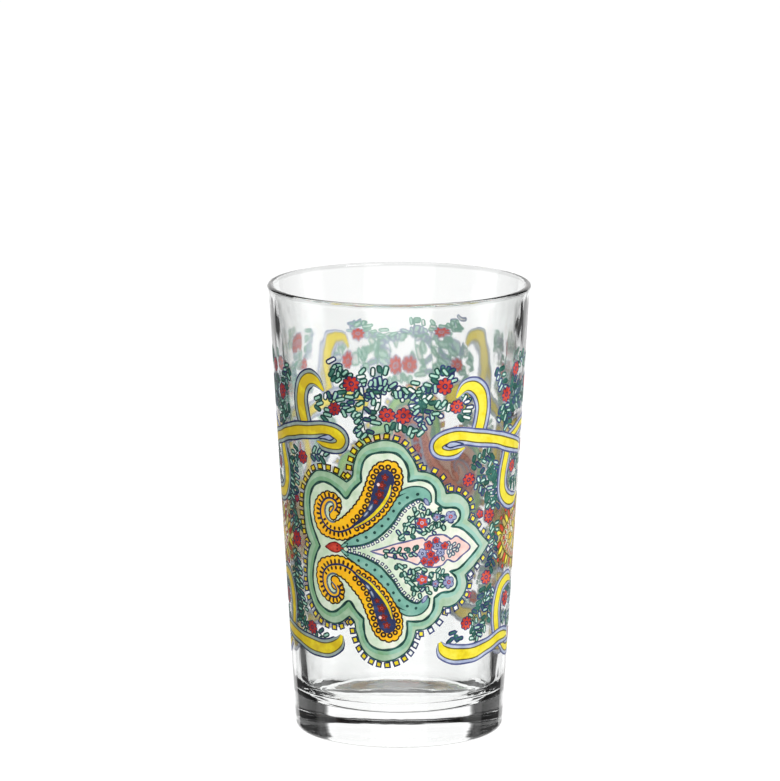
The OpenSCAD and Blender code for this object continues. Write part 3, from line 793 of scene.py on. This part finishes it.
def draw_middle():
    lozenge = on_screen(curve(lozenge_upper_shares + lozenge_lower_shares + lozenge_upper_shares[:1])[:-1])
    fill("pink", lozenge)
    line("violet", lozenge, PEN_FIRM, closed=True)
    bud = smooth(bud_shares)
    bud = bud + [(x, -y) for x, y in bud[-2:0:-1]]
    fill("red", bud)
    line("wine", bud, PEN_THIN, closed=True)
    for up in (1, -1):
        x, y = at(*sepal_shares)
        pointed(x, up * y, up * SEPAL_LEAN, *SEPAL, "teal", "aqua")
        x, y = at(*bud_dot_shares)
        disc("wine", x, up * y, BUD_DOT_R)
    for x, y, a, length in sprig_leaf_shares:
        colours = ("slate", "white") if x > sprig_end_share else ("teal", "leaf")
        size = (sprig_leaf_share * length, SPRIG_LEAF_W)
        leaf(*at(x, y), math.radians(a), *size, *colours, edge=PEN_MEDIUM)
    leafy(lozenge_stem_shares, **LOZENGE_SPRIG)
    for i, (x, y, r) in enumerate(lozenge_bloom_shares):
        petal = "red" if i % 4 else "lavender"
        bloom(*at(x, y), lozenge_bloom_share * r, ink="violet", petal=petal, heart="plum")
    for up in (1, -1):
        draw_spray(up)


def draw_spray(up):
    for stem in spray_stem_shares:
        leafy(mirrored(stem, 1, up), **SPRAY_SPRIG)
    for x, y, a, length in spray_leaf_shares:
        size = (spray_leaf_share * length, SPRAY_LEAF_W)
        leaf(*at(x, up * y), math.radians(up * a), *size, "teal", "leaf", edge=SPRAY_LEAF_LINE)
    for i, (x, y, r) in enumerate(spray_bloom_shares):
        petal, heart = ("red", "pearl") if i == 0 else ("lavender", "red")
        bloom(*at(x, up * y), spray_bloom_share * r, ink="violet", petal=petal, heart=heart)


def draw_medallion():
    band = whole_edge(band_edge_shares)
    ground = whole_edge(ground_edge_shares)
    fill("sage", band)
    line("teal", band, EDGE_LINE, closed=True)
    stroke("jade", ground, INNER_BAND, 0, closed=True)
    fill("mint", ground)
    line("teal", ground, GROUND_LINE, closed=True)
    for up in (1, -1):
        draw_plume(up)
        draw_paisley(up)
    draw_middle()


draw_rosette()
draw_garlands()
for frame_side in (1, -1):
    draw_frame(frame_side)
draw_picots()
draw_medallion()


# From the ordered shapes to one flat mosaic: each small triangle takes the ink of the topmost shape over it

GRID_ACROSS = 1.2
GRID_UP = 2.0
GRID_MARGIN = 1
MERGE = 0.002
LEAST_AREA = 0.001
cover_share = 1.2
COVER_SLACK = 0.05

# Slow waves that keep the drawing from being stiff: size, turns in the repeat, turn per millimetre, start
ACROSS_WAVES = ((0.1, 5, 0.31, 0), (0.06, 13, -0.7, 2))
UP_WAVES = ((0.1, 6, -0.27, 1), (0.06, 11, 0.6, 0))


def area_of(outline):
    return sum(a[0] * b[1] - b[0] * a[1] for a, b in zip(outline, outline[1:] + outline[:1])) / 2


def mosaic():
    points = []
    faces = []
    inks = []
    areas = []
    for ink, outline in drawn:
        area = area_of(outline)
        if abs(area) < LEAST_AREA:
            continue
        ordered = outline if area > 0 else outline[::-1]
        faces.append(list(range(len(points), len(points) + len(ordered))))
        inks.append(ink)
        areas.append(abs(area))
        points += [Vector(p) for p in ordered]
    edge = REPEAT_W / 2
    low = min(p[1] for p in points) - GRID_MARGIN
    high = max(p[1] for p in points) + GRID_MARGIN
    cuts = []
    for x in (-edge, edge):
        cuts.append((len(points), len(points) + 1))
        points += [Vector((x, low)), Vector((x, high))]
    columns = round(REPEAT_W / GRID_ACROSS)
    rows = round((high - low) / GRID_UP)
    for i in range(columns + 1):
        for j in range(1, rows):
            points.append(Vector((-edge + REPEAT_W * i / columns, low + (high - low) * j / rows)))
    places, _, triangles, _, _, sources = delaunay_2d_cdt(points, cuts, faces, 1, MERGE, True)
    # A shape too thin to have an inside would seem to cover all, so each one's cover is checked
    cover = [0] * len(faces)
    for triangle, over in zip(triangles, sources):
        size = abs(area_of([places[i] for i in triangle]))
        for n in over:
            cover[n] += size
    sound = [whole < cover_share * area + COVER_SLACK for whole, area in zip(cover, areas)]
    by_ink = {}
    for triangle, over in zip(triangles, sources):
        over = [n for n in over if sound[n]]
        middle = sum(places[i][0] for i in triangle) / len(triangle)
        if over and abs(middle) <= edge:
            by_ink.setdefault(inks[max(over)], []).append(tuple(triangle))
    return places, by_ink


def drift(x, y):
    """Moves a place by the slow waves, which are the same at both ends of the repeat."""
    turn = 2 * math.pi * x / REPEAT_W

    def moved(waves):
        return sum(size * math.sin(turns * turn + climb * y + start) for size, turns, climb, start in waves)

    return x + moved(ACROSS_WAVES), y + moved(UP_WAVES)


def on_wall(x, y, out, turn):
    z = PRINT_MID + y
    a = x / PRINT_R + PRINT_TURN + turn
    r = wall_r(z) + out
    return (r * math.sin(a) * MM, -r * math.cos(a) * MM, z * MM)


def new_object(name, data):
    item = bpy.data.objects.new(name, data)
    bpy.context.scene.collection.objects.link(item)
    return item


def new_piece(name, verts, faces):
    mesh = bpy.data.meshes.new(name)
    mesh.from_pydata(verts, [], faces)
    mesh.polygons.foreach_set("use_smooth", [True] * len(mesh.polygons))
    return new_object(name, mesh)


def skin(name, places, triangles):
    """A thin closed skin on the wall, twice round the glass, from triangles of the flat mosaic."""
    used = sorted({i for t in triangles for i in t})
    index = {i: n for n, i in enumerate(used)}
    flat = [drift(*places[i]) for i in used]
    count = len(used)
    sides = {}
    for t in triangles:
        for a, b in zip(t, t[1:] + t[:1]):
            if (b, a) in sides:
                del sides[(b, a)]
            else:
                sides[(a, b)] = True
    verts = []
    faces = []
    for turn in (0, math.pi):
        start = len(verts)
        for out in (PROUD, UNDER):
            verts += [on_wall(x, y, out, turn) for x, y in flat]
        for t in triangles:
            n = [start + index[i] for i in t]
            faces.append(tuple(n))
            faces.append(tuple(i + count for i in reversed(n)))
        for a, b in sides:
            p, q = start + index[a], start + index[b]
            faces.append((q, p, p + count, q + count))
    piece = new_piece(name, verts, faces)
    piece.data.set_sharp_from_angle(angle=SHARP_FROM)
    return piece


# Glass. The wall's inner side grows away from the outer one towards the floor.

inner_depth_shares = [0, 0.06, 0.16, 0.4, 1]
wall_growth_shares = [0, 0.22, 0.55, 0.8, 1]


def arc(middle, r, start, end, steps=CORNER_STEPS):
    angles = [math.radians(start + (end - start) * i / steps) for i in range(steps + 1)]
    return [(middle[0] + r * math.cos(a), middle[1] + r * math.sin(a)) for a in angles]


def glass_profile():
    steps = CORNER_STEPS
    heel = (wall_r(FOOT_ROUND) - FOOT_ROUND / math.cos(WALL_LEAN), FOOT_ROUND)
    ring_in = heel[0] - RING_W
    bead_r = RIM_WALL / 2
    bead = (RIM_D / 2 - bead_r, GLASS_H - bead_r)
    corner_z = BASE_T + FLOOR_DISH + FLOOR_ROUND
    inner_h = bead[1] - corner_z
    run = [
        (RIM_WALL + (FLOOR_WALL - RIM_WALL) * grown, bead[1] - inner_h * depth)
        for depth, grown in zip(inner_depth_shares, wall_growth_shares)
    ]
    inner = [(wall_r(z) + BEAD_OUT - thick, z) for thick, z in curve(run, WALL_STEPS)]
    corner = (inner[-1][0] - FLOOR_ROUND, corner_z)
    profile = [(ring_in * i / steps, PUNT_H * (1 - (i / steps) ** 2)) for i in range(steps + 1)]
    profile += arc(heel, FOOT_ROUND, -90, -math.degrees(WALL_LEAN))
    low = profile[-1][1]
    wall_h = GLASS_H - 2 * RIM_WALL - low
    heights = [low + wall_h * i / WALL_RINGS for i in range(1, WALL_RINGS + 1)]
    profile += [(wall_r(z), z) for z in heights]
    profile += arc(bead, bead_r, BEAD_FROM, 180, 2 * steps)
    profile += inner[2:-1]
    profile += arc(corner, FLOOR_ROUND, 0, -90)
    for i in range(1, steps + 1):
        left = 1 - i / steps
        profile.append((corner[0] * left, BASE_T + FLOOR_DISH * left ** 2))
    return profile


def lathe(name, profile):
    verts = []
    faces = []
    rings = []
    for r, z in profile:
        if r < TINY:
            rings.append([len(verts)] * ROUND_STEPS)
            verts.append((0, 0, z * MM))
            continue
        rings.append(list(range(len(verts), len(verts) + ROUND_STEPS)))
        for a in round_angles(ROUND_STEPS):
            verts.append((r * math.cos(a) * MM, r * math.sin(a) * MM, z * MM))
    for low, high in zip(rings, rings[1:]):
        for i in range(ROUND_STEPS):
            k = (i + 1) % ROUND_STEPS
            corners = [low[i], low[k], high[k], high[i]]
            faces.append(tuple(dict.fromkeys(corners)))
    return new_piece(name, verts, faces)


# Materials. A helper takes numbers, colours and other nodes' outputs alike.

WHITE = (1, 1, 1, 1)
IOR = 1.5

# Enamel: mottle, orange peel, the light that it lets through and its painted side light, with lengths in
# metres
MOTTLE_SCALE = 420.0
mottle_shares = (0.3, 0.5, 0.7)
GRAIN_SCALE = 2600.0
GRAIN_DEPTH = 0.00004
GRAIN_STRENGTH = 0.12
GLOSS_ROUGH = 0.22
GRAIN_ROUGH = 0.47
# How far each way across the glass the painted side light runs
SIDE_LIGHT_REACH = 0.024
glow_share = 0.5

# Glass: its waviness, longer up the wall than round it
WAVE_SCALE = 160.0
WAVE_DEPTH = 0.0004
WAVE_STRENGTH = 0.32
WAVE_STRETCH = (1, 1, 0.35)
# Its roughness up its height, clear in the base and at the rim
rough_shares = [(0, 0), (0.15, 0), (0.19, 0.06), (0.93, 0.06), (0.97, 0), (1, 0)]
# Its clearness up its height, only on the outside, with a dark line of painted shade along the rim bead
painted_rim_shade_shares = [(0, 1), (0.9918, 1), (0.9928, 0.08), (0.9952, 0.08), (0.9962, 1), (1, 1)]
RIM_INNER_R = 26.1
RIM_OUTER_R = 26.3


def shade(code):
    """A grey from its level, or a colour from six hex digits."""
    if not isinstance(code, str):
        return (code,) * 3 + (1,)
    parts = [int(code[i:i + 2], 16) / 255 for i in (0, 2, 4)]
    return [c / 12.92 if c <= 0.04045 else ((c + 0.055) / 1.055) ** 2.4 for c in parts] + [1]


def add(tree, kind, values=(), settings=(), **named):
    """A node, with its settings, and with inputs given by their places or their names."""
    node = tree.nodes.new("ShaderNode" + kind)
    for key, value in settings:
        setattr(node, key, value)
    inputs = dict(values if isinstance(values, dict) else enumerate(values))
    inputs.update((key.replace("_", " "), value) for key, value in named.items())
    for key, value in inputs.items():
        if isinstance(value, bpy.types.NodeSocket):
            tree.links.new(value, node.inputs[key])
        else:
            node.inputs[key].default_value = value
    return node


def computed(tree, operation, *values, kind="Math", clamp=False):
    settings = [("operation", operation)] + ([("use_clamp", True)] if clamp else [])
    return add(tree, kind, values, settings).outputs["Value"]


def mapped(tree, value, start, end, low=0, high=1):
    """A value that runs from start to end, made to run from low to high."""
    return add(tree, "MapRange", (value, start, end, low, high)).outputs["Result"]


def ramp(tree, value, stops):
    """Shades along a value."""
    node = add(tree, "ValToRGB", Fac=value)
    elements = node.color_ramp.elements
    elements[0].position = stops[0][0]
    elements[1].position = stops[-1][0]
    for position, _ in stops[1:-1]:
        elements.new(position)
    for element, (_, code) in zip(elements, stops):
        element.color = shade(code)
    return node.outputs["Color"]


def tinted(tree, share, a, b, blend="MIX"):
    """Colour a mixed with b."""
    settings = (("data_type", "RGBA"), ("blend_type", blend))
    return add(tree, "Mix", {0: share, 6: a, 7: b}, settings).outputs[2]


def blended(tree, share, a, b):
    """Shader a blended with shader b."""
    return add(tree, "MixShader", (share, a.outputs[0], b.outputs[0]))


def new_material(name):
    material = bpy.data.materials.new(name)
    material.use_nodes = True
    material.node_tree.nodes.clear()
    return material, material.node_tree


def enamel(name, colour, deep, pale, underside_and_backlight, painted_side_light):
    """Fired enamel, mottled where the paste was thick or thin, with a fine orange peel in its gloss, and
    lighter on the right by painted side light. Seen through the glass that it lies on, it shows its
    underside's colour, made paler as painted backlight."""
    material, tree = new_material(name)
    place = add(tree, "TexCoord").outputs["Object"]
    mottle = add(tree, "TexNoise", Vector=place, Scale=MOTTLE_SCALE, Detail=4.0, Roughness=0.6)
    # Painted side light: every ink darker on the left and lighter on the right, as if lit from there
    across = add(tree, "SeparateXYZ", Vector=place).outputs["X"]
    paler = mapped(tree, across, -SIDE_LIGHT_REACH, SIDE_LIGHT_REACH, -painted_side_light, painted_side_light)
    depth = computed(tree, "ADD", mottle.outputs["Fac"], paler)
    upper = ramp(tree, depth, list(zip(mottle_shares, (deep, colour, pale))))
    # Faces that look inward show the underside's own colour, made paler as painted backlight
    normal = add(tree, "NewGeometry").outputs["Normal"]
    inward = computed(tree, "LESS_THAN", computed(tree, "DOT_PRODUCT", normal, place, kind="VectorMath"), 0)
    shown = tinted(tree, inward, upper, shade(underside_and_backlight))
    grain = add(tree, "TexNoise", Vector=place, Scale=GRAIN_SCALE, Detail=2.0).outputs["Fac"]
    rough = mapped(tree, grain, 0, 1, GLOSS_ROUGH, GRAIN_ROUGH)
    bump = add(tree, "Bump", Strength=GRAIN_STRENGTH, Distance=GRAIN_DEPTH, Height=grain).outputs["Normal"]
    paste = add(tree, "BsdfPrincipled", Base_Color=shown, IOR=IOR, Roughness=rough, Normal=bump)
    glow = add(tree, "BsdfTranslucent", Color=shown)
    add(tree, "OutputMaterial", Surface=blended(tree, glow_share, paste, glow).outputs[0])
    return material


def clear_glass():
    """Pressed soda-lime glass with a faint waviness, and a dark line of painted shade along the outside of
    its rim bead. Lamps shine through it onto the print.
    """
    material, tree = new_material("clear_glass")
    place = add(tree, "TexCoord").outputs["Object"]
    stretched = add(tree, "Mapping", Vector=place, Scale=WAVE_STRETCH).outputs["Vector"]
    wave = add(tree, "TexNoise", Vector=stretched, Scale=WAVE_SCALE, Detail=2.0).outputs["Fac"]
    bump = add(tree, "Bump", Strength=WAVE_STRENGTH, Distance=WAVE_DEPTH, Height=wave).outputs["Normal"]
    height = mapped(tree, add(tree, "SeparateXYZ", Vector=place).outputs["Z"], 0, GLASS_H * MM)
    # Painted shade: the outside of the rim bead is darkened to a dark line
    level = add(tree, "Mapping", Vector=place, Scale=(1, 1, 0)).outputs["Vector"]
    reach = computed(tree, "LENGTH", level, kind="VectorMath")
    outside = mapped(tree, reach, RIM_INNER_R * MM, RIM_OUTER_R * MM)
    tint = ramp(tree, wave, [(0, "fcfefd"), (1, "ffffff")])
    rim_shaded = tinted(tree, outside, tint, ramp(tree, height, painted_rim_shade_shares), "MULTIPLY")
    rough = ramp(tree, height, rough_shares)
    looks = {"Base_Color": rim_shaded, "IOR": IOR, "Roughness": rough, "Normal": bump, "Transmission_Weight": 1}
    glass = add(tree, "BsdfPrincipled", **looks)
    through = add(tree, "BsdfTransparent", Color=shade("fdfefd"))
    in_shadow = add(tree, "LightPath").outputs["Is Shadow Ray"]
    add(tree, "OutputMaterial", Surface=blended(tree, in_shadow, glass, through).outputs[0])
    return material


# Ink: slot, colours (its own, deeper, paler and its underside's), and how much painted side light pales it
# on the right
# An underside's colour is its own as seen from behind, made paler as painted backlight shining through from
# outside
inks = {
    "sage": ("enamel_sage", "b8d2b8 a2c4a4 cadcd0 b8dca4", 0.2),
    "mint": ("enamel_mint", "e4f2e0 cfe6ca f8faf2 f0d4ca", 0.2),
    "leaf": ("enamel_mint", "b4dccb 8fc2ae d4ece2 d8ece4", 0.15),
    "white": ("enamel_mint", "eef2ee dfe8e2 fbfcfb f4f6f4", 0),
    "cream": ("enamel_yellow", "d8cc80 bcae52 ece2b4 e4daa0", 0),
    "aqua": ("enamel_aqua", "86c2b2 74b0a0 9fd0c0 d8a79a", 0),
    "jade": ("enamel_aqua", "9ccab4 86b68c acd6cc c8e0b2", 0.35),
    "orange": ("enamel_orange", "ffce02 fbbd00 ffda24 ecb4a4", 0),
    "brown": ("enamel_brown", "3c2408 2c1a06 523410 cc8a80", 0),
    "olive": ("enamel_brown", "6e6428 57502c 857a2e c8bc78", 0),
    "yellow": ("enamel_yellow", "f0e11c dcc40a f8ee52 f4e678", 0.22),
    "pearl": ("enamel_lavender", "b9c3da a4b0cc d2dae8 dfe3ee", 0.1),
    "mist": ("enamel_lavender", "a3b4ae 8ea39b bccac6 d8dfe0", 0),
    "lavender": ("enamel_lavender", "a9b1d0 959ec4 c4cae2 ccd2e4", 0),
    "violet": ("enamel_lavender", "5b6498 4b5488 7a84b4 b0b6d0", 0),
    "slate": ("enamel_lavender", "5f7488 50657a 8093a4 c0cad4", 0),
    "pink": ("enamel_pink", "fae3dc f4d2ca fdf2ee f2c8bc", 0),
    "red": ("enamel_red", "d4402a ae2622 e6644a e4705e", 0.2),
    "wine": ("enamel_red", "7a1e1a 5e1412 94302a c04438", 0.2),
    "teal": ("enamel_teal", "1a5048 113c3a 3a7a70 9ac4b6", 0.15),
    "pine": ("enamel_teal", "3a7868 2b6456 5c9a88 b0d4c6", 0),
    "navy": ("enamel_navy", "28366a 1e2a54 46588c b2bcd2", 0.15),
    "indigo": ("enamel_navy", "2c3568 222a54 4a568c b8bed6", 0.15),
    "plum": ("enamel_navy", "32265a 281e4a 46386e a898b4", 0),
}

places, by_ink = mosaic()
for ink, (slot, colours, painted_side_light) in inks.items():
    piece = skin("print_" + ink, places, by_ink[ink])
    piece.data.materials.append(enamel("enamel_" + ink, *colours.split(), painted_side_light))
    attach(piece, "root")
    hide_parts(slot)

glass = lathe("glass", glass_profile())
glass.data.materials.append(clear_glass())
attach(glass, "root")
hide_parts("glass_body")


# Floor, surroundings and light. Beyond the white backdrop the surroundings are dark for what shines through
# or off the glass, and the same on both sides, in front and behind. Below they are white, and high up dark.

# Sines of the headings between which the surroundings are dark, and how soft their edges are
dark_from_share = 0.54 ** 2
dark_to_share = 0.97 ** 2
soft_share = 0.03
around_shares = [
    (dark_from_share - soft_share, 1), (dark_from_share, 0.2), (dark_from_share + soft_share, 0.012),
    (0.6, 0.03), (dark_to_share - soft_share, 0.012), (dark_to_share, 0.5), (dark_to_share + soft_share, 1),
]
below_shares = [(0, 1), (0.2, 1), (0.24, 0), (1, 0)]
ceiling_shares = [(0, 1), (0.72, 1), (0.79, 0.12), (1, 0.3)]
WORLD_LIGHT = 0.9
# The white backdrop seen through the glass makes up for what two walls take away
SEEN_LIGHT = 1.05
# How much of the dark surroundings a reflection off the outside of the glass shows
SHEEN_DARK = 0.85
FLOOR_R = 1.6
FLOOR_SIDES = 64
FLOOR_GAP = 0.00005
FLOOR_GREY = 0.86
FLOOR_LIGHT = 1.05
floor_white_share = 0.85
# Place, aim, width and power
LAMPS = {
    "key": ((0.6, -0.8, 0.7), (0, 0, 0.04), 0.7, 11),
    "top": ((0, 0, 1.1), (0, 0, 0), 0.9, 5),
}


def side_share(tree, parts):
    """The squared sine of the heading from the Y axis, from 0 straight ahead to 1 straight aside."""
    x, y = (computed(tree, "MULTIPLY", parts[axis], parts[axis]) for axis in ("X", "Y"))
    return computed(tree, "DIVIDE", x, computed(tree, "ADD", x, y))


def studio_world():
    world = bpy.data.worlds.new("studio")
    bpy.context.scene.world = world
    world.use_nodes = True
    tree = world.node_tree
    tree.nodes.clear()
    parts = add(tree, "SeparateXYZ", Vector=add(tree, "TexCoord").outputs["Generated"]).outputs
    height = mapped(tree, parts["Z"], -1, 1)
    dark = ramp(tree, side_share(tree, parts), around_shares)
    seen = tinted(tree, ramp(tree, height, below_shares), dark, WHITE)
    seen = tinted(tree, 1, seen, ramp(tree, height, ceiling_shares), "MULTIPLY")
    around = add(tree, "Background", Color=seen, Strength=SEEN_LIGHT)
    light = add(tree, "Background", Color=WHITE, Strength=WORLD_LIGHT)
    white = add(tree, "Background", Color=WHITE, Strength=1.0)
    ray = add(tree, "LightPath").outputs
    direct = computed(tree, "MAXIMUM", ray["Is Camera Ray"], ray["Is Glossy Ray"])
    sheen = computed(tree, "MULTIPLY", ray["Is Glossy Ray"], SHEEN_DARK)
    darkened = computed(tree, "MAXIMUM", ray["Is Transmission Ray"], sheen)
    clear = computed(tree, "SUBTRACT", darkened, ray["Diffuse Depth"], clamp=True)
    bright = blended(tree, direct, light, white)
    add(tree, "OutputWorld", Surface=blended(tree, clear, bright, around).outputs[0])


def floor_material():
    """White to the camera but for the shadow on it."""
    material, tree = new_material("studio_floor")
    matt = add(tree, "BsdfDiffuse", Color=shade(FLOOR_GREY))
    white = add(tree, "Emission", Color=WHITE, Strength=FLOOR_LIGHT)
    camera_ray = add(tree, "LightPath").outputs["Is Camera Ray"]
    share = computed(tree, "MULTIPLY", camera_ray, floor_white_share)
    add(tree, "OutputMaterial", Surface=blended(tree, share, matt, white).outputs[0])
    return material


def lamp(name, place, aim, width, power):
    data = bpy.data.lights.new(name, "AREA")
    data.shape = "RECTANGLE"
    data.size = data.size_y = width
    data.energy = power
    item = new_object(name, data)
    item.location = place
    way = Vector(aim) - Vector(place)
    item.rotation_euler = way.to_track_quat("-Z", "Y").to_euler()
    item.visible_camera = False
    item.visible_transmission = False


floor_corners = [(FLOOR_R * math.cos(a), FLOOR_R * math.sin(a), 0) for a in round_angles(FLOOR_SIDES)]
floor = new_piece("floor", floor_corners, [tuple(range(FLOOR_SIDES))])
floor.location.z = -FLOOR_GAP
floor.visible_transmission = False
floor.visible_glossy = False
floor.data.materials.append(floor_material())
studio_world()
for lamp_name, values in LAMPS.items():
    lamp(lamp_name, *values)


# Camera, from the outline in the photograph

CAMERA_BACK = 1.13954
CAMERA_UP = 0.28228
CAMERA_PITCH = math.radians(10.564)
CAMERA_YAW = math.radians(-0.0934)
IMAGE_W = 780
FOCAL_PIXELS = 5699.5
SENSOR_W = 36
NEAREST = 0.01
FARTHEST = 20

ahead = Vector((
    math.sin(CAMERA_YAW) * math.cos(CAMERA_PITCH),
    math.cos(CAMERA_YAW) * math.cos(CAMERA_PITCH),
    -math.sin(CAMERA_PITCH),
))
right = ahead.cross(Vector((0, 0, 1))).normalized()
above = right.cross(ahead)
camera_data = bpy.data.cameras.new("camera")
camera_data.sensor_fit = "HORIZONTAL"
camera_data.sensor_width = SENSOR_W
camera_data.lens = FOCAL_PIXELS / IMAGE_W * SENSOR_W
camera_data.clip_start = NEAREST
camera_data.clip_end = FARTHEST
camera = new_object("camera", camera_data)
placing = Matrix((right, above, -ahead)).transposed().to_4x4()
placing.translation = Vector((0, -CAMERA_BACK, CAMERA_UP))
camera.matrix_world = placing
bpy.context.scene.camera = camera
bpy.context.scene.view_settings.view_transform = "Standard"
